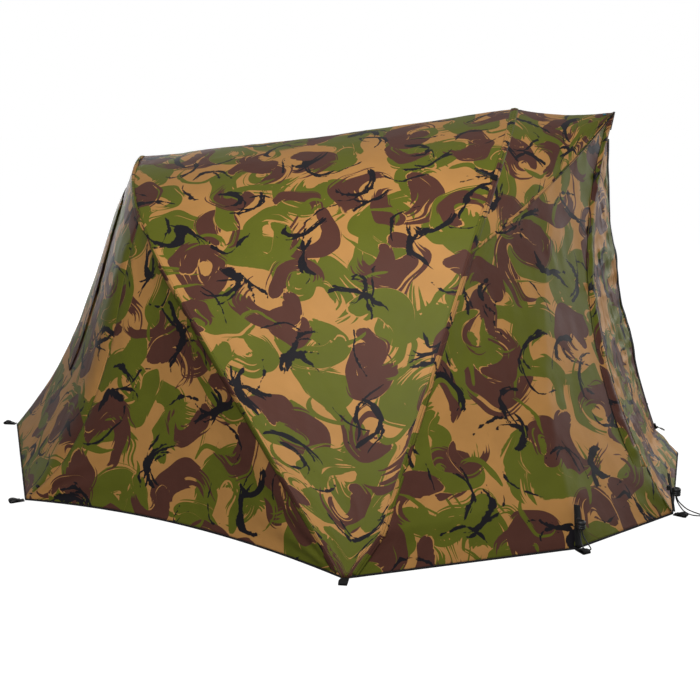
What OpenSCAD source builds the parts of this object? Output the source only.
// Pop up shelter: two folding hoops on side pivot blocks under a taut, floorless canopy.
// Millimetres, +Z up. The door faces -Y. The origin lies on the floor, under the middle of the whole.
// Left and right are those of someone inside who faces the door: right is -X, left is +X.

/* [Footprint] */
// From the middle to a side corner of the hem
half_width = 1250; // [1200:10:1300]
// Sideways place of the rear corner of the hem
rear_corner_x = 810; // [760:10:860]
// How far behind the pivots the rear corner of the hem lies
rear_corner_y = 1156; // [1110:2:1200]
// How far behind the pivots the middle of the rear hem lies
rear_reach = 1565; // [1500:5:1630]
// Sideways place of the front side corner of the hem
front_corner_x = 957; // [920:1:990]
// How far ahead of the pivots the front side corner of the hem lies
front_corner_y = 664; // [630:2:700]
// Sideways place of the door corner of the hem
door_corner_x = 633; // [600:1:670]
// How far ahead of the pivots the door corner of the hem lies
door_corner_y = 992; // [960:2:1030]
// How far ahead of the pivots the foot of the door's middle lies
front_reach = 1107; // [1080:1:1140]

/* [Hoops] */
// From the middle to each side pivot
pivot_half = 1185; // [1170:1:1195]
// How far ahead of the side corner the front hoop's pivot pins lie
front_pin_ahead = 70; // [64:1:76]
// How far behind the side corner the rear hoop's pivot pins lie
rear_pin_behind = 40; // [36:1:50]
// Height of the pivot pins over the floor
pivot_z = 35; // [32:1:40]
// Forward lean of the front hoop, in degrees
front_lean = 16.6; // [14:0.1:19]
// Backward lean of the rear hoop, in degrees
rear_lean = 41.2; // [39:0.1:44]
// Height of the front hoop's apex over its pivots, along the hoop
front_rise = 1280; // [1260:2:1310]
// Height of the rear hoop's apex over its pivots, along the hoop
rear_rise = 1396; // [1370:2:1420]
// Radius of the arched tubes
arch_radius = 1000; // [950:10:1050]
// Slope of each arched tube where it leaves the apex hub, in degrees
hub_slope = 11; // [10:0.5:12]
// Outer diameter of the hoop tubes
tube_d = 16; // [15:0.5:17]
// Wall of the hoop tubes
tube_wall = 1.5; // [1.2:0.1:2]

/* [Fabric] */
// Distance of the canopy from the middle of a hoop tube
fabric_gap = 24; // [18:0.5:24]
// Thickness of the canopy shell, at one metre from the middle of the floor
cloth = 3; // [2.5:0.1:4]
// Inward sag of the main panel between the hoops
roof_sag = 12; // [10:1:30]
// Sag of the ridge between the front hoop and the peak
ridge_sag = 16; // [8:1:22]
// Inward bow of the door's side edges
door_bow = 150; // [120:5:170]
// Inward bow of the door's middle
door_mid_bow = 45; // [30:1:55]
// Forward bow of the seams that run down from the rear hoop
rear_bow = 70; // [50:5:90]
// Inward bow of the hem between the side corner and the rear corner
hem_bow = 90; // [60:5:100]
// Drop of the peak's lip, where the door's middle leaves the tip
lip_z = 1180; // [1170:2:1200]
// How far ahead of the pivots the door's middle lies under the lip
lip_y = 780; // [765:1:790]
// Height of the hem's flared foot at the middle of the door
flare_z = 88; // [70:2:100]
// How far ahead of the pivots the flared foot begins
flare_y = 1015; // [1000:1:1030]

/* [Peak] */
// How far ahead of the pivots the peak reaches
peak_reach = 796; // [780:2:815]
// Height of the peak over the floor
peak_z = 1273; // [1262:1:1284]
// Half of the width of the peak's blunt tip
peak_half = 15; // [13:1:20]
// Diameter of the peak strut
strut_d = 10; // [9:0.5:11]

/* [Tension bars] */
// Distance of the front bar clamps from the pivots, along the hoop
bar_front_r = 700; // [680:5:720]
// Height of the rear clamps along the rear hoop
bar_rear_r = 560; // [540:5:580]
// Outer diameter of a bar's sleeve tube
bar_d = 15; // [14:0.5:16]
// Diameter of a bar's sliding rod
bar_rod_d = 11; // [10:0.5:11.5]
// How far the rod slides back into its tube
bar_stroke = 300; // [260:5:320]
// Sideways distance of a bar from the middle of the hoop's leg
bar_inset = 32; // [30:1:40]

/* [Trim] */
// Width of the webbing
web_w = 25; // [20:1:30]
// Thickness of the webbing
web_t = 2.5; // [2:0.1:3]
// Length of a peg tab outside the hem
tab_len = 50; // [40:1:60]
// Diameter of the shock cord
shock_d = 4; // [3.5:0.1:5]
// Diameter of the guy cord
guy_d = 3; // [2.5:0.1:3.5]
// Diameter of a cord lock's barrel
lock_d = 20; // [18:0.5:22]
// Height of a cord lock's barrel
lock_h = 24; // [22:0.5:28]

/* [Hidden] */
$fn = 48;

// Clearances and small sizes
run_gap = 0.05;
skin_gap = 0.3;
thin = 0.6;
pin_r = 4;
knee_rise = 28;
ear_r = 11;
ear_t = 5;
tongue_w = 12;
spigot_len = 40;
hub_seat = 13;
collar_len = 6;
base_t = 16;
corner_half = 13;
foot_rise = 48;
// Height of the point that the roof sags towards
sag_centre_z = 300;
tube_r = tube_d / 2;
bore_r = tube_r - tube_wall;
front_pin_y = -front_pin_ahead;
rear_pin_y = rear_pin_behind;
// The whole is centred between the tips of its front and rear ends
front_tip = front_reach + 4;
rear_tip = rear_reach + tab_len + 6;
pivot_y = (front_tip - rear_tip) / 2;

function lerp(a, b, t) = a + (b - a) * t;
function unit(v) = v / norm(v);
function flip_x(p) = [-p[0], p[1], p[2]];
function reversed(list) = [for (i = [len(list) - 1 : -1 : 0]) list[i]];

// ---- Hoop geometry, in the plane of a hoop: [sideways, height from the pivots] ----
function arch_centre(rise) = [hub_seat * cos(hub_slope) - arch_radius * sin(hub_slope),
                              rise - hub_seat * sin(hub_slope) - arch_radius * cos(hub_slope)];
function knee() = [pivot_half, knee_rise];
// Direction of a leg from its knee, in degrees from sideways
function leg_angle(rise) =
    let (d = arch_centre(rise) - knee()) atan2(d[1], d[0]) - asin(arch_radius / norm(d));
function leg_length(rise) =
    let (d = arch_centre(rise) - knee()) sqrt(d * d - arch_radius * arch_radius);
function along(a) = [cos(a), sin(a)];
function leg_point(rise, s) = knee() + s * along(leg_angle(rise));
// The same place in space; lean is positive towards the rear
function in_space(p, lean, pin_y) = [p[0], pin_y + p[1] * sin(lean), pivot_z + p[1] * cos(lean)];

// ---- Seam lines of the canopy, on the left side ----
LEG_STEPS = 8;
ARCH_STEPS = 8;
APEX = LEG_STEPS + ARCH_STEPS;
HEM_ROW = 0.1;
SEAM_ROW = 8;
REAR_ROW = 11;
crease_radius = arch_radius + fabric_gap;
function crease_arc_point(rise, t) =
    let (c = arch_centre(rise), low = leg_angle(rise) - 90, top = acos(-c[0] / crease_radius))
    c + crease_radius * along(lerp(low, top, t));
// The foot of a crease runs from the hem's corner out to its place beside the leg
function crease_foot(rise, lean, pin_y) =
    in_space(leg_point(rise, foot_rise) + fabric_gap * along(leg_angle(rise) - 90), lean, pin_y);
function crease(i, rise, lean, pin_y, corner_y) =
    i <= 1
    ? lerp([half_width, corner_y, 0], crease_foot(rise, lean, pin_y), i)
    : i <= LEG_STEPS
    ? lerp(crease_foot(rise, lean, pin_y), in_space(crease_arc_point(rise, 0), lean, pin_y),
           (i - 1) / (LEG_STEPS - 1))
    : in_space(crease_arc_point(rise, (i - LEG_STEPS) / ARCH_STEPS), lean, pin_y);
function front_crease(i) = crease(i, front_rise, -front_lean, front_pin_y, -corner_half);
function rear_crease(i) = crease(i, rear_rise, rear_lean, rear_pin_y, corner_half);
function upto(k) = concat([0, HEM_ROW], [for (i = [1 : k]) i]);

peak_corner = [peak_half, -peak_reach, peak_z];
peak_tip = [0, -peak_reach, peak_z];
front_corner = [front_corner_x, -front_corner_y, 0];
door_corner = [door_corner_x, -door_corner_y, 0];
door_foot = [0, -front_reach, 0];
flare_top = [0, -flare_y, flare_z];
lip_foot = [0, -lip_y, lip_z];
rear_corner = [rear_corner_x, rear_corner_y, 0];
rear_foot = [0, rear_reach, 0];

// A circular arc from a to b that bows by the given amount towards the side
function arc_radius(a, b, bow) = (norm(b - a) * norm(b - a) / 4 + bow * bow) / (2 * bow);
function arc_side(a, b, side) = let (e = unit(b - a)) unit(side - (side * e) * e);
function arc_middle(a, b, bow, side) = (a + b) / 2 - arc_side(a, b, side) * (arc_radius(a, b, bow) - bow);
function arc_half_angle(a, b, bow) = asin(norm(b - a) / 2 / arc_radius(a, b, bow));
function arc_point(a, b, bow, side, t) =
    let (r = arc_radius(a, b, bow), w = lerp(-1, 1, t) * arc_half_angle(a, b, bow))
    arc_middle(a, b, bow, side) + r * (sin(w) * unit(b - a) + cos(w) * arc_side(a, b, side));

inward = [0, 1, 0];
function door_edge(t) = arc_point(door_corner, peak_corner, door_bow, inward, t);
// The door's middle: a flared foot, a long arc that the zip follows, and a short lip
LIP_ROW = SEAM_ROW - 1;
function door_mid(t) =
    let (i = t * SEAM_ROW)
    i < 1 ? lerp(door_foot, flare_top, i)
          : i <= LIP_ROW
          ? arc_point(flare_top, lip_foot, door_mid_bow, inward, (i - 1) / (LIP_ROW - 1))
          : lerp(lip_foot, peak_tip, i - LIP_ROW);
seam_sag = [0, -12, -18];
function peak_seam(t) = lerp(front_crease(SEAM_ROW), peak_corner, t) + 4 * t * (1 - t) * seam_sag;
function ridge(t) = lerp(front_crease(APEX), peak_tip, t) - [0, 0, 4 * t * (1 - t) * ridge_sag];
// The rear seam is drawn in most at a third of its height
function rear_seam(t) =
    lerp(rear_corner, rear_crease(REAR_ROW), t) - [0, 27 / 4 * t * (1 - t) * (1 - t) * rear_bow, 0];
// The front hem turns at the front side corner
function front_hem(t) =
    t < 0.6
    ? lerp(front_crease(0), front_corner, t / 0.6)
    : lerp(front_corner, door_corner, (t - 0.6) / 0.4);

// ---- Surfaces ----
// A patch between four edges: low and high run with u, near and far run with v
function coons(u, v, low, high, near, far, c00, c10, c01, c11) =
    lerp(low, high, v) + lerp(near, far, u) - lerp(lerp(c00, c10, u), lerp(c01, c11, u), v);

SIDE_COLUMNS = [0, 0.15, 0.3, 0.45, 0.6, 0.72, 0.84, 0.94, 1];
DOOR_COLUMNS = [0, 0.03, 0.25, 0.5, 0.75, 1];
ROOF_COLUMNS = [0, 0.125, 0.25, 0.375, 0.5, 0.625, 0.75, 0.875, 1];
REAR_COLUMNS = [0, 0.2, 0.4, 0.6, 0.8, 1];

function front_side_point(u, i) =
    let (v = i / SEAM_ROW)
    coons(u, v, front_hem(u), peak_seam(u), front_crease(i), door_edge(v),
          front_crease(0), door_corner, front_crease(SEAM_ROW), peak_corner);
function front_side_grid() = [for (i = upto(SEAM_ROW)) [for (u = SIDE_COLUMNS) front_side_point(u, i)]];

function door_point(u, i) =
    let (v = i / SEAM_ROW)
    coons(u, v, lerp(door_foot, door_corner, u), lerp(peak_tip, peak_corner, u), door_mid(v), door_edge(v),
          door_foot, door_corner, peak_tip, peak_corner);
function door_grid() = [for (i = upto(SEAM_ROW)) [for (u = reversed(DOOR_COLUMNS)) door_point(u, i)]];

function peak_point(u, i) =
    let (v = (i - SEAM_ROW) / (APEX - SEAM_ROW))
    coons(u, v, peak_seam(u), ridge(u), front_crease(i), lerp(peak_corner, peak_tip, v),
          front_crease(SEAM_ROW), peak_corner, front_crease(APEX), peak_tip);
function peak_half_grid() = [for (i = [SEAM_ROW : APEX]) [for (u = SIDE_COLUMNS) peak_point(u, i)]];

function roof_point(u, i) =
    let (a = front_crease(i), b = rear_crease(i), fill = min(1, i / LEG_STEPS),
         middle = [0, 0, sag_centre_z], sag = 4 * u * (1 - u) * roof_sag * fill)
    let (p = lerp(a, b, u)) p - unit(p - middle) * sag;
function roof_half_grid() = [for (i = [0 : APEX]) [for (u = reversed(ROOF_COLUMNS)) roof_point(u, i)]];

function rear_hem(u) = lerp(rear_crease(0), rear_corner, u) - [4 * u * (1 - u) * hem_bow, 0, 0];
function rear_side_point(u, i) =
    let (v = i / (REAR_ROW - 1))
    coons(u, v, rear_hem(u), lerp(rear_crease(REAR_ROW - 1), rear_crease(REAR_ROW), u),
          rear_crease(i), rear_seam(v),
          rear_crease(0), rear_corner, rear_crease(REAR_ROW - 1), rear_crease(REAR_ROW));
function rear_side_grid() =
    [for (i = upto(REAR_ROW - 1)) [for (u = reversed(REAR_COLUMNS)) rear_side_point(u, i)]];

REAR_SPAN = APEX - REAR_ROW;
function rear_top(j) =
    j <= REAR_SPAN
    ? rear_crease(REAR_ROW + j)
    : flip_x(rear_crease(REAR_ROW + 2 * REAR_SPAN - j));
function rear_low(w) =
    w < 0.5
    ? lerp(rear_corner, rear_foot, 2 * w)
    : lerp(rear_foot, flip_x(rear_corner), 2 * w - 1);
function rear_point(j, i) =
    let (v = i / (REAR_ROW - 1), w = j / (2 * REAR_SPAN))
    coons(w, v, rear_low(w), rear_top(j), rear_seam(v), flip_x(rear_seam(v)),
          rear_corner, flip_x(rear_corner), rear_crease(REAR_ROW), flip_x(rear_crease(REAR_ROW)));
function rear_grid(from, to, rows) = [for (i = rows) [for (j = [to : -1 : from]) rear_point(j, i)]];

// Both halves of a grid whose last row lies on the middle plane
function both_halves(g) =
    concat(g, [for (i = [len(g) - 2 : -1 : 0]) [for (p = g[i]) flip_x(p)]]);
function rows_of(g, from, to) = [for (i = [from : to]) g[i]];
function columns_of(g, from, to) = [for (row = g) [for (j = [from : to]) row[j]]];

// A shell over a grid of points, between two scales about the middle of the floor
function scaled(p, k) = [p[0] * k, p[1] * k, p[2] * k];
module shell(g, k0 = 1 - cloth / 1000, k1 = 1) {
    rows = len(g);
    cols = len(g[0]);
    count = rows * cols;
    outer = [for (row = g) for (p = row) scaled(p, k1)];
    inner = [for (row = g) for (p = row) scaled(p, k0)];
    skin = [for (i = [0 : rows - 2]) for (j = [0 : cols - 2])
            let (a = i * cols + j, b = a + 1, c = a + cols + 1, d = a + cols)
            each [[a, b, c], [a, c, d]]];
    rim = concat([for (j = [0 : cols - 1]) j],
                 [for (i = [1 : rows - 1]) i * cols + cols - 1],
                 [for (j = [cols - 2 : -1 : 0]) (rows - 1) * cols + j],
                 [for (i = [rows - 2 : -1 : 1]) i * cols]);
    walls = [for (n = [0 : len(rim) - 1])
             let (a = rim[n], b = rim[(n + 1) % len(rim)])
             each [[a, a + count, b + count], [a, b + count, b]]];
    lining = [for (f = skin) [f[0] + count, f[2] + count, f[1] + count]];
    polyhedron(points = concat(outer, inner), faces = concat(skin, walls, lining), convexity = 6);
}
// Strips that lie on a panel, one above another
module strip(g, lift = 1) {
    shell(g, 1 + (lift * thin) / 1000, 1 + (lift * thin + 1.6) / 1000);
}

// Everything is drawn from the pivots and then moved to its place over the floor
module place() translate([0, pivot_y, 0]) children();
module on_side(s) if (s > 0) children(); else mirror([1, 0, 0]) children();
module both_sides() {
    children();
    mirror([1, 0, 0]) children();
}
// From the upright plane of a hoop to its lean
module front_plane() translate([0, front_pin_y, pivot_z]) rotate([front_lean, 0, 0]) children();
module rear_plane() translate([0, rear_pin_y, pivot_z]) rotate([-rear_lean, 0, 0]) children();
// A piece drawn up +Z from a point of the hoop's plane, turned to a direction in it
module from_point(p, a) translate([p[0], 0, p[1]]) rotate([0, 90 - a, 0]) children();

camo = "olivedrab";
nylon = "#2b2b2d";
webbing = "#17181a";
alloy = "#8d9094";

// ---- Canopy ----
module main_panel() color(camo) place() shell(both_halves(roof_half_grid()));
module peak_panel() color(camo) place() shell(both_halves(peak_half_grid()));
module front_side(s) color(camo) place() on_side(s) shell(front_side_grid());
module door(s) color(camo) place() on_side(s) shell(door_grid());
module rear_side(s) color(camo) place() on_side(s) shell(rear_side_grid());
module rear_panel() color(camo) place() shell(rear_grid(0, 2 * REAR_SPAN, upto(REAR_ROW - 1)));
module vent_cover() color(camo) place() strip(rear_grid(3, 2 * REAR_SPAN - 3, [3 : 9]), 0.6);
module storm_flap(s) color(camo) place() on_side(s)
    strip(columns_of(rows_of(front_side_grid(), 2, SEAM_ROW), 7, 8));
module hem_binding() color(webbing) place() {
    both_sides() {
        strip(rows_of(front_side_grid(), 0, 1));
        strip(rows_of(door_grid(), 0, 1));
        strip(rows_of(rear_side_grid(), 0, 1));
    }
    strip(rear_grid(0, 2 * REAR_SPAN, [0, HEM_ROW]));
}

// ---- Hoops ----
hub_r = tube_r + 3;
hub_len = 42;
hub_cut = 5;
leg_start = 14;
sleeve_in = tube_r + 0.4;
sleeve_out = tube_r + 2;
sleeve_foot = 55;
sleeve_gap = 2;
clamp_r = tube_r + 5;
clamp_len = 26;
sleeve_cut = clamp_len / 2 + 4;
function height_s(rise, r) = (r - knee_rise) / sin(leg_angle(rise));
// Turn about the arch's middle that runs a given length along its tube
function turn(len) = len / arch_radius * 180 / PI;
function arch_len(rise) = (180 - hub_slope - leg_angle(rise)) / turn(1);

module across(r, h) rotate([0, 90, 0]) cylinder(r = r, h = h, center = true);
module pipe(outer, inner, h) difference() {
    cylinder(r = outer, h = h);
    translate([0, 0, -1]) cylinder(r = inner, h = h + 2);
}
// Sweeps a profile along the arch, from one length past the leg's end to another short of the hub
module sweep_arch(rise, from_leg, from_hub) {
    c = arch_centre(rise);
    low = leg_angle(rise) - 90 + turn(from_leg);
    high = 90 - hub_slope - turn(from_hub);
    translate([c[0], 0, c[1]]) rotate([90, 0, 0]) rotate([0, 0, low])
        rotate_extrude(angle = high - low, $fn = 160) translate([arch_radius, 0]) children();
}
module ring(outer, inner) difference() {
    circle(r = outer);
    circle(r = inner);
}
module arch_tube(rise) sweep_arch(rise, collar_len / 2, 0) ring(tube_r, bore_r);
module leg_tube(rise)
    from_point(leg_point(rise, leg_start), leg_angle(rise))
        pipe(tube_r, bore_r, leg_length(rise) - collar_len / 2 - leg_start);
// A ferrule is a rod in both tubes with a collar that the tube ends butt against
module ferrule(rise) {
    from_point(leg_point(rise, leg_length(rise)), leg_angle(rise)) {
        translate([0, 0, -collar_len / 2 - spigot_len])
            cylinder(r = bore_r - run_gap, h = spigot_len + collar_len / 4);
        cylinder(r = tube_r, h = collar_len - 2 * run_gap, center = true);
    }
    sweep_arch(rise, collar_len / 4, arch_len(rise) - collar_len / 2 - spigot_len)
        circle(r = bore_r - run_gap);
}
// The tongue turns on the pivot pin and plugs into the leg
module leg_end(rise) difference() {
    union() {
        translate([pivot_half, 0, 0]) across(ear_r - 0.5, tongue_w);
        translate([pivot_half, 0, knee_rise / 2]) cube([tongue_w, 14, knee_rise], center = true);
        translate([pivot_half, 0, knee_rise]) sphere(r = tube_r + 1);
        from_point(knee(), leg_angle(rise)) {
            cylinder(r = tube_r, h = leg_start - run_gap);
            cylinder(r = bore_r - run_gap, h = leg_start + spigot_len);
        }
    }
    translate([pivot_half, 0, 0]) across(pin_r + run_gap, tongue_w + 2);
}
// A drum with two sockets that follow the arch
module hub(rise) {
    translate([0, 0, rise]) rotate([90, 0, 0]) cylinder(r = hub_r + 1.4, h = 2 * hub_r + 1, center = true);
    both_sides() sweep_arch(rise, arch_len(rise) - hub_len + hub_seat, 5 - hub_seat)
        ring(hub_r, tube_r + run_gap);
}
// The fabric sleeve leaves the bar clamp and the hub free
module hoop_sleeve(rise, clamp_s) {
    from_point(leg_point(rise, sleeve_foot), leg_angle(rise))
        pipe(sleeve_out, sleeve_in, clamp_s - sleeve_cut - sleeve_foot);
    from_point(leg_point(rise, clamp_s + sleeve_cut), leg_angle(rise))
        pipe(sleeve_out, sleeve_in, leg_length(rise) - clamp_s - sleeve_cut - sleeve_gap / 2);
    sweep_arch(rise, sleeve_gap / 2, hub_len - hub_seat + sleeve_gap) ring(sleeve_out, sleeve_in);
}

// ---- Tension bars: each turns on a pin of the front hoop and clips over a stud of the rear hoop ----
eye_w = 12;
eye_r = 10;
lug_r = 8;
clip_r = 10;
bar_overlap = 36;
front_clamp_s = height_s(front_rise, bar_front_r);
rear_clamp_s = height_s(rear_rise, bar_rear_r);
front_grip = in_space(leg_point(front_rise, front_clamp_s), -front_lean, front_pin_y);
rear_grip = in_space(leg_point(rear_rise, rear_clamp_s), rear_lean, rear_pin_y);
front_knee = in_space(knee(), -front_lean, front_pin_y);
// A bar's pin stands square to the front leg and to the bar, so that the bar folds against the leg
pin_out = unit(cross(front_knee - front_grip, rear_grip - front_grip));
bar_front = front_grip - bar_inset * pin_out;
bar_rear = rear_grip - bar_inset * pin_out;
bar_len = norm(bar_rear - bar_front);
bar_dir = unit(bar_rear - bar_front);
bar_tube_len = eye_r + 8 + bar_stroke + bar_overlap;
lug_len = bar_inset - eye_w / 2 - skin_gap;
stud_len = eye_w + 2 * skin_gap + 4;

module bar_clamp(lean, pin_y, rise, s, grip) {
    difference() {
        union() {
            translate([0, pin_y, pivot_z]) rotate([-lean, 0, 0])
                from_point(leg_point(rise, s), leg_angle(rise))
                cylinder(r = clamp_r, h = clamp_len, center = true);
            pin_frame(grip) translate([0, 0, -lug_len]) cylinder(r = lug_r, h = lug_len);
        }
        translate([0, pin_y, pivot_z]) rotate([-lean, 0, 0])
            from_point(leg_point(rise, s), leg_angle(rise))
            cylinder(r = tube_r + run_gap, h = clamp_len + 40, center = true);
    }
    pin_frame(grip) translate([0, 0, -lug_len - stud_len]) cylinder(r = pin_r, h = stud_len + 4);
}
// The pin's axis as +Z, square to the bar
module pin_frame(p) frame_at(p, bar_dir, cross(pin_out, bar_dir), pin_out) children();
// From the bar's own axis (+Z, towards the rear) to its place
module bar_place() frame_at(bar_front, pin_out, cross(bar_dir, pin_out), bar_dir) children();
module bar_tube() {
    difference() {
        union() {
            across(eye_r, eye_w);
            intersection() {
                cylinder(d = bar_d, h = lug_r + 8);
                cube([eye_w, 2 * bar_d, 4 * bar_d], center = true);
            }
            translate([0, 0, lug_r + 4]) cylinder(d = bar_d, h = bar_tube_len - lug_r - 4);
        }
        across(pin_r + run_gap, eye_w + 6);
        translate([0, 0, eye_r + 4]) cylinder(d = bar_rod_d + 4 * run_gap, h = bar_tube_len);
    }
    translate([0, 0, bar_tube_len - 24]) difference() {
        union() {
            cylinder(d = bar_d + 7, h = 20);
            translate([0, -bar_d / 2 - 2, 10]) cube([12, 10, 16], center = true);
        }
        translate([0, 0, -1]) cylinder(d = bar_d + 2 * run_gap, h = 22);
    }
}
module bar_rod() difference() {
    union() {
        translate([0, 0, bar_tube_len - bar_overlap])
            cylinder(d = bar_rod_d, h = bar_len - clip_r + 3 - bar_tube_len + bar_overlap);
        translate([0, 0, bar_len]) across(clip_r, eye_w);
    }
    translate([0, 0, bar_len]) across(pin_r + skin_gap, eye_w + 2);
    translate([0, -clip_r, bar_len]) cube([eye_w + 2, 2 * clip_r, 2 * pin_r - 1], center = true);
}

// ---- Pivot blocks ----
ear_gap = tongue_w / 2 + skin_gap;
block_w = 2 * (ear_gap + ear_t);
pin_head_t = 2;
module ear_pair() difference() {
    both_ears() {
        across(ear_r, ear_t);
        translate([-ear_t / 2, -ear_r, -pivot_z]) cube([ear_t, 2 * ear_r, pivot_z]);
    }
    across(pin_r + run_gap, block_w + 2);
}
module both_ears() {
    translate([ear_gap + ear_t / 2, 0, 0]) children();
    translate([-ear_gap - ear_t / 2, 0, 0]) children();
}
module pivot_block() {
    front_end = front_pin_y - ear_r - 4;
    rear_end = rear_pin_y + ear_r + 4;
    translate([pivot_half, 0, 0]) {
        translate([0, rear_end - block_w / 2, 0]) cylinder(d = block_w, h = base_t);
        translate([0, front_end + block_w / 2, 0]) cylinder(d = block_w, h = base_t);
        translate([-block_w / 2, front_end + block_w / 2, 0])
            cube([block_w, rear_end - front_end - block_w, base_t]);
        translate([0, front_pin_y, pivot_z]) ear_pair();
        translate([0, rear_pin_y, pivot_z]) ear_pair();
    }
}
module rivet_pin(r, grip, head_r) {
    across(r, grip + 2 * pin_head_t);
    for (x = [-1, 1]) translate([x * (grip + pin_head_t + 2 * run_gap) / 2, 0, 0])
        across(head_r, pin_head_t);
}

// ---- Peak strut ----
strut_pin_r = 3;
strut_eye_w = 10;
strut_eye_r = 7;
strut_ear_t = 4;
strut_at = [0, -18, front_rise - 18];
tip_r = 7;
function lean_to_space(p, lean, pin_y) =
    [p[0], pin_y + p[1] * cos(lean) + p[2] * sin(lean), pivot_z - p[1] * sin(lean) + p[2] * cos(lean)];
strut_root = lean_to_space(strut_at, -front_lean, front_pin_y);
strut_end = [0, -peak_reach + 13, peak_z - 15];
strut_len = norm(strut_end - strut_root);
strut_tilt = atan2(strut_end[2] - strut_root[2], strut_root[1] - strut_end[1]);
module strut_place() translate(strut_root) rotate([90 - strut_tilt, 0, 0]) children();
module strut_ears() for (x = [-1, 1])
    translate([x * (strut_eye_w / 2 + skin_gap + strut_ear_t / 2), strut_at[1], strut_at[2]]) {
        across(strut_eye_r, strut_ear_t);
        translate([0, -strut_at[1] / 2, 8]) rotate([45, 0, 0]) cube([strut_ear_t, 14, 22], center = true);
    }

// ---- Webbing, locks and cords ----
// A frame with the given axes as its own
module frame_at(o, x, y, z) multmatrix([[x[0], y[0], z[0], o[0]], [x[1], y[1], z[1], o[1]],
                                        [x[2], y[2], z[2], o[2]], [0, 0, 0, 1]]) children();
function level(v) = unit([v[0], v[1], 0]);
up = [0, 0, 1];
web_gap = 3;
out_side = [1, 0, 0];
out_rear = level([0.57, 0.82, 0]);
out_front = level([0.82, -0.57, 0]);
out_door = level([0.45, -0.89, 0]);
// Flat webbing on the floor, from a corner of the hem outwards
module floor_tab(corner, out, len) frame_at(corner + out * web_gap, cross(out, up), out, up) {
    translate([-web_w / 2, 0, 0]) cube([web_w, len, web_t]);
    translate([-web_w / 2, len - 16, web_t]) cube([web_w, 16, web_t]);
}
draw_h = 125;
function lean_of(corner, top) = unit(top - corner);
function out_of(out, z) = unit(out - (out * z) * z);
module draw_tab(corner, top, out) {
    z = lean_of(corner, top);
    y = out_of(out, z);
    frame_at(corner + y * web_gap + z * 8, cross(y, z), y, z)
        translate([-web_w / 2, 0, 0]) cube([web_w, web_t, draw_h]);
    floor_tab(corner, out, 34);
}
lock_z = 60;
plunger_r = 6.5;
plunger_out = 7;
plunger_in = 8;
plunger_stroke = 4;
lock_back = lock_d / 2 + 4.4;
// The foot of a cord lock, which stands against its webbing
function lock_foot(corner, top, out) =
    let (z = lean_of(corner, top), off = (web_gap + web_t) / (out * out_of(out, z)))
    corner + z * (lock_z / z[2]) + out * (off + lock_back + 2 * skin_gap);
front_top = front_side_point(0.6, 1);
door_top = front_side_point(1, 1);
front_lock = lock_foot(front_corner, front_top, out_front);
door_lock = lock_foot(door_corner, door_top, out_door);
module lock_place(foot, out) frame_at(foot, cross(out, up), out, up) children();
module lock_barrel(foot, out) lock_place(foot, out) difference() {
    union() {
        cylinder(d = lock_d, h = lock_h);
        translate([-5, -lock_back, 0]) cube([10, 6, lock_h]);
    }
    translate([0, 0, lock_h - plunger_in - plunger_stroke - 1])
        cylinder(r = plunger_r + 1.5 * run_gap, h = lock_h);
}
module plunger(foot, out) lock_place(foot, out) translate([0, 0, lock_h - plunger_in]) {
    cylinder(r = plunger_r, h = plunger_in + plunger_out - 2);
    translate([0, 0, plunger_in + plunger_out - 2]) cylinder(r = plunger_r - 1, h = 2);
}

// A tube of eight sides along a path; the rings of its two ends stand square to it
SIDES = 8;
function path_dir(path, i) =
    let (n = len(path) - 1) unit(path[min(i + 1, n)] - path[max(i - 1, 0)]);
module cord(path, d) {
    n = len(path);
    // One circle's worth of points round each place of the path
    ring = function (i) let (z = path_dir(path, i), x = unit(cross(z, [0.31, 0.2, 0.93])), y = cross(z, x))
        [for (k = [0 : SIDES - 1]) path[i] + d / 2 * (cos(k * 360 / SIDES) * x + sin(k * 360 / SIDES) * y)];
    sides = [for (i = [0 : n - 2]) for (k = [0 : SIDES - 1])
             let (a = i * SIDES + k, b = i * SIDES + (k + 1) % SIDES)
             each [[a, a + SIDES, b + SIDES], [a, b + SIDES, b]]];
    starts = [for (k = [1 : SIDES - 2]) [0, k, k + 1]];
    ends = [for (k = [1 : SIDES - 2]) let (e = (n - 1) * SIDES) [e, e + k + 1, e + k]];
    polyhedron(points = [for (i = [0 : n - 1]) each ring(i)], faces = concat(sides, starts, ends));
}
// Half of a shock cord's loop, from the lock's foot: [sideways, outward, up from the foot]
LOOP_FRONT = [[3.5, 0, 0], [3.5, 0, -8], [5, 4, -22], [9, 15, -38], [12, 29, -50],
              [7, 41, -52.5], [0, 45, -52.5]];
LOOP_DOOR = [[3.5, 0, 0], [3.5, 0, -8], [5, 7, -22], [9, 18, -34], [13, 34, -46],
             [14, 56, -52], [8, 78, -52.5], [0, 84, -52.5]];
function whole_loop(h) = concat(h, [for (i = [len(h) - 2 : -1 : 0]) flip_x(h[i])]);
// Two guy cords hang from each guy tab, over the main panel
GUY_LONG = [[-4, 0, 0], [-4, 10, 0], [-10, 28, 2], [-18, 46, 3], [-24, 60, 3]];
GUY_SHORT = [[4, 0, 0], [4, 10, 0], [0, 26, 2], [-4, 40, 3], [-10, 52, 3]];

// ---- Zip, sliders, peak trim ----
zip_r = arc_radius(flare_top, lip_foot, door_mid_bow);
zip_centre = arc_middle(flare_top, lip_foot, door_mid_bow, inward);
zip_half = arc_half_angle(flare_top, lip_foot, door_mid_bow);
zip_chord = unit(lip_foot - flare_top);
zip_tilt = atan2(-zip_chord[1], zip_chord[2]);
zip_lift = 1.7;
zip_t = 1.6;
zip_w = 24;
// From the middle of the zip's arc: +Y points back to the door, +Z up along its chord
module zip_place() translate(zip_centre) rotate([zip_tilt, 0, 0]) children();
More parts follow.
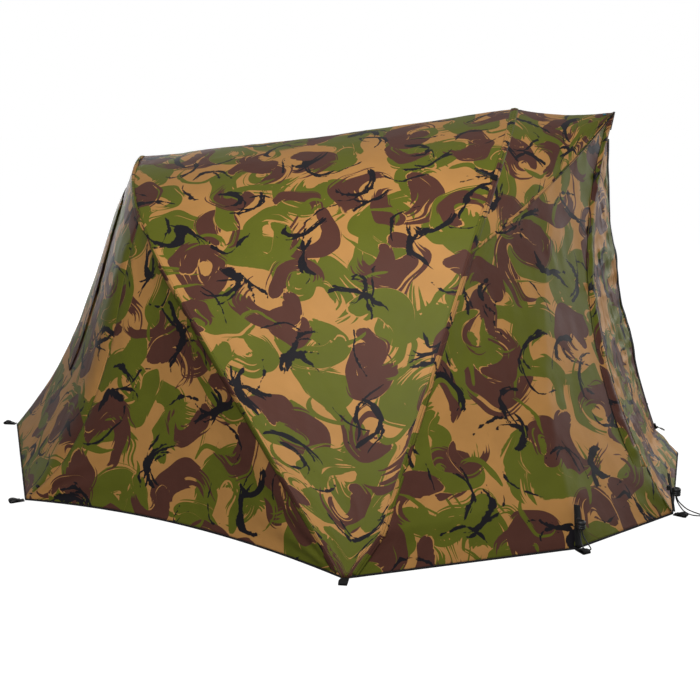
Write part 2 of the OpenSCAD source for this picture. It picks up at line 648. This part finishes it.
// A block on the zip, at an angle up from the middle of its arc
module on_zip(w) zip_place() rotate([w, 0, 0]) translate([0, zip_r - zip_lift - zip_t, 0]) children();
slider_rest = -zip_half + 0.25;
slider_l = 20;
slider_w = 12;
slider_t = 6;
ring_pin_r = 1.2;
ring_pin = [0, -slider_t - 3.4, -slider_l / 2 + 4];
module slider_body() {
    translate([-slider_w / 2, -slider_t - 0.4, -slider_l / 2]) cube([slider_w, slider_t, slider_l]);
    for (x = [-1, 1]) translate([x * 4, 0, ring_pin[2]]) {
        translate([0, ring_pin[1], 0]) across(2.6, 2);
        translate([-1, ring_pin[1], -2.6]) cube([2, 4, 5.2]);
    }
    translate(ring_pin) across(ring_pin_r, 8);
}
ring_fall = 46;
module ring_pull() difference() {
    union() {
        across(2.6, 5);
        translate([-2.5, -1.3, -12]) cube([5, 2.6, 12]);
        translate([0, 0, -20]) rotate([90, 0, 0])
            rotate_extrude() translate([9, 0]) circle(r = 1.5, $fn = 16);
    }
    across(ring_pin_r + run_gap, 8);
}

module pivot_blocks(s) color(nylon) place() on_side(s) pivot_block();
module pivot_pins() color("silver") place() both_sides() translate([pivot_half, 0, pivot_z]) {
    translate([0, front_pin_y, 0]) rivet_pin(pin_r, block_w, pin_r + 2);
    translate([0, rear_pin_y, 0]) rivet_pin(pin_r, block_w, pin_r + 2);
}
module front_arch(s) color(alloy) place() front_plane() on_side(s) arch_tube(front_rise);
module rear_arch(s) color(alloy) place() rear_plane() on_side(s) arch_tube(rear_rise);
module front_leg(s) color(alloy) place() front_plane() on_side(s) leg_tube(front_rise);
module rear_leg(s) color(alloy) place() rear_plane() on_side(s) leg_tube(rear_rise);
module front_ferrules() color("dimgray") place() front_plane() both_sides() ferrule(front_rise);
module rear_ferrules() color("dimgray") place() rear_plane() both_sides() ferrule(rear_rise);
module front_leg_ends() color(nylon) place() front_plane() both_sides() leg_end(front_rise);
module rear_leg_ends() color(nylon) place() rear_plane() both_sides() leg_end(rear_rise);
module front_sleeve() color(camo) place() front_plane() both_sides() hoop_sleeve(front_rise, front_clamp_s);
module rear_sleeve() color(camo) place() rear_plane() both_sides() hoop_sleeve(rear_rise, rear_clamp_s);
module front_hub() color(nylon) place() front_plane() difference() {
    union() {
        hub(front_rise);
        strut_ears();
    }
    translate(strut_at) across(strut_pin_r + run_gap, 40);
    translate(strut_at) across(strut_eye_r + 1, strut_eye_w + 2 * skin_gap);
}
// The rear hub leans back, so the top of its front face is cut away under the roof
module rear_hub() color(nylon) place() rear_plane() difference() {
    hub(rear_rise);
    translate([0, -hub_r - 0.5, rear_rise + hub_r + 1.4]) rotate([45, 0, 0])
        cube([3 * hub_r, hub_cut, hub_cut], center = true);
}
module front_bar_clamps() color(nylon) place() both_sides()
    bar_clamp(-front_lean, front_pin_y, front_rise, front_clamp_s, front_grip);
module rear_bar_clamps() color(nylon) place() both_sides()
    bar_clamp(rear_lean, rear_pin_y, rear_rise, rear_clamp_s, rear_grip);
module front_pins() color("silver") place() {
    both_sides() pin_frame(front_grip) translate([0, 0, -lug_len - stud_len + 0.4])
        pipe(pin_r + 3, pin_r + run_gap, 2);
    front_plane() translate(strut_at)
        rivet_pin(strut_pin_r, strut_eye_w + 2 * (skin_gap + strut_ear_t), strut_pin_r + 2);
}
module bar_tubes(s) color(alloy) place() on_side(s) bar_place() bar_tube();
module bar_rods(s) color("silver") place() on_side(s) bar_place() bar_rod();
module peak_strut() color(alloy) place() strut_place() difference() {
    union() {
        across(strut_eye_r, strut_eye_w);
        cylinder(d = strut_d, h = strut_len - 4);
    }
    across(strut_pin_r + run_gap, strut_eye_w + 2);
}
module strut_tip() color(nylon) place() strut_place() translate([0, 0, strut_len]) difference() {
    union() {
        sphere(r = tip_r);
        translate([0, 0, -18]) cylinder(r = tip_r, h = 18);
    }
    translate([0, 0, -20]) cylinder(d = strut_d + 2 * run_gap, h = 16 + run_gap);
}
module peg_tabs() color(webbing) place() {
    both_sides() {
        floor_tab([half_width, 0, 0], out_side, tab_len);
        floor_tab(rear_corner, out_rear, tab_len);
    }
    floor_tab(rear_foot, [0, 1, 0], tab_len);
}
module draw_tabs() color(webbing) place() both_sides() {
    draw_tab(front_corner, front_top, out_front);
    draw_tab(door_corner, door_top, out_door);
}
module cord_lock_barrels() color(nylon) place() both_sides() {
    lock_barrel(front_lock, out_front);
    lock_barrel(door_lock, out_door);
}
module plunger_front(s) color("dimgray") place() on_side(s) plunger(front_lock, out_front);
module plunger_door(s) color("dimgray") place() on_side(s) plunger(door_lock, out_door);
module shock_loops() color("black") place() both_sides() {
    lock_place(front_lock, out_front) cord(whole_loop(LOOP_FRONT), shock_d);
    lock_place(door_lock, out_door) cord(whole_loop(LOOP_DOOR), shock_d);
}
GUY_TURN = 40;
module guy_place() {
    c = arch_centre(front_rise);
    translate([c[0], 0, c[1]]) rotate([0, GUY_TURN, 0])
        translate([0, 0, crease_radius + skin_gap]) children();
}
module guy_tabs() color(webbing) place() front_plane() both_sides() guy_place()
    translate([-web_w / 2, -11, 0]) cube([web_w, 22, web_t]);
module guy_cords() color("black") place() front_plane() both_sides() guy_place()
    translate([0, 11, 0]) rotate([-12, 0, 0]) {
        cord(GUY_LONG, guy_d);
        cord(GUY_SHORT, guy_d);
    }
module peak_rivet() color("teal") place() both_sides()
    translate(scaled(peak_point(0.9, APEX - 2), 1 + thin / 1000) + [0, 0, 1.3])
        cylinder(r1 = 5, r2 = 3.5, h = 2);
module peak_strap() color(webbing) place() {
    z = unit(lip_foot - peak_tip);
    y = unit(cross(z, [1, 0, 0]));
    frame_at(peak_tip + z * 6, [1, 0, 0], y, z) translate([-8, 0.4, 0]) cube([16, web_t, 58]);
}
module door_slider() color("black") place() on_zip(slider_rest) slider_body();
module door_slider_ring() color("black") place() on_zip(slider_rest)
    translate(ring_pin) rotate([-ring_fall, 0, 0]) ring_pull();
module centre_zip() color(webbing) place() zip_place() rotate([0, 90, 0]) rotate([0, 0, 90 - zip_half])
    rotate_extrude(angle = 2 * zip_half, $fn = 600)
        translate([zip_r - zip_lift - zip_t, -zip_w / 2]) square([zip_t, zip_w]);

pivot_blocks(1);  // pivot_block_left
pivot_blocks(-1);  // pivot_block_right
pivot_pins();
main_panel();
peak_panel();
front_side(1);  // front_side_left
front_side(-1);  // front_side_right
door(1);  // door_left
door(-1);  // door_right
rear_side(1);  // rear_side_left
rear_side(-1);  // rear_side_right
rear_panel();
vent_cover();
storm_flap(1);  // storm_flap_left
storm_flap(-1);  // storm_flap_right
centre_zip();
hem_binding();
peg_tabs();
draw_tabs();
cord_lock_barrels();
plunger_front(1);  // plunger_front_left
plunger_front(-1);  // plunger_front_right
plunger_door(1);  // plunger_door_left
plunger_door(-1);  // plunger_door_right
shock_loops();
peak_rivet();
peak_strap();
door_slider();
door_slider_ring();
front_hub();
front_arch(1);  // front_arch_left
front_arch(-1);  // front_arch_right
front_leg(1);  // front_leg_left
front_leg(-1);  // front_leg_right
front_ferrules();
front_leg_ends();
front_sleeve();
front_bar_clamps();
front_pins();
guy_tabs();
guy_cords();
rear_hub();
rear_arch(1);  // rear_arch_left
rear_arch(-1);  // rear_arch_right
rear_leg(1);  // rear_leg_left
rear_leg(-1);  // rear_leg_right
rear_ferrules();
rear_leg_ends();
rear_sleeve();
rear_bar_clamps();
bar_tubes(1);  // bar_tube_left
bar_tubes(-1);  // bar_tube_right
bar_rods(1);  // bar_rod_left
bar_rods(-1);  // bar_rod_right
peak_strut();
strut_tip();
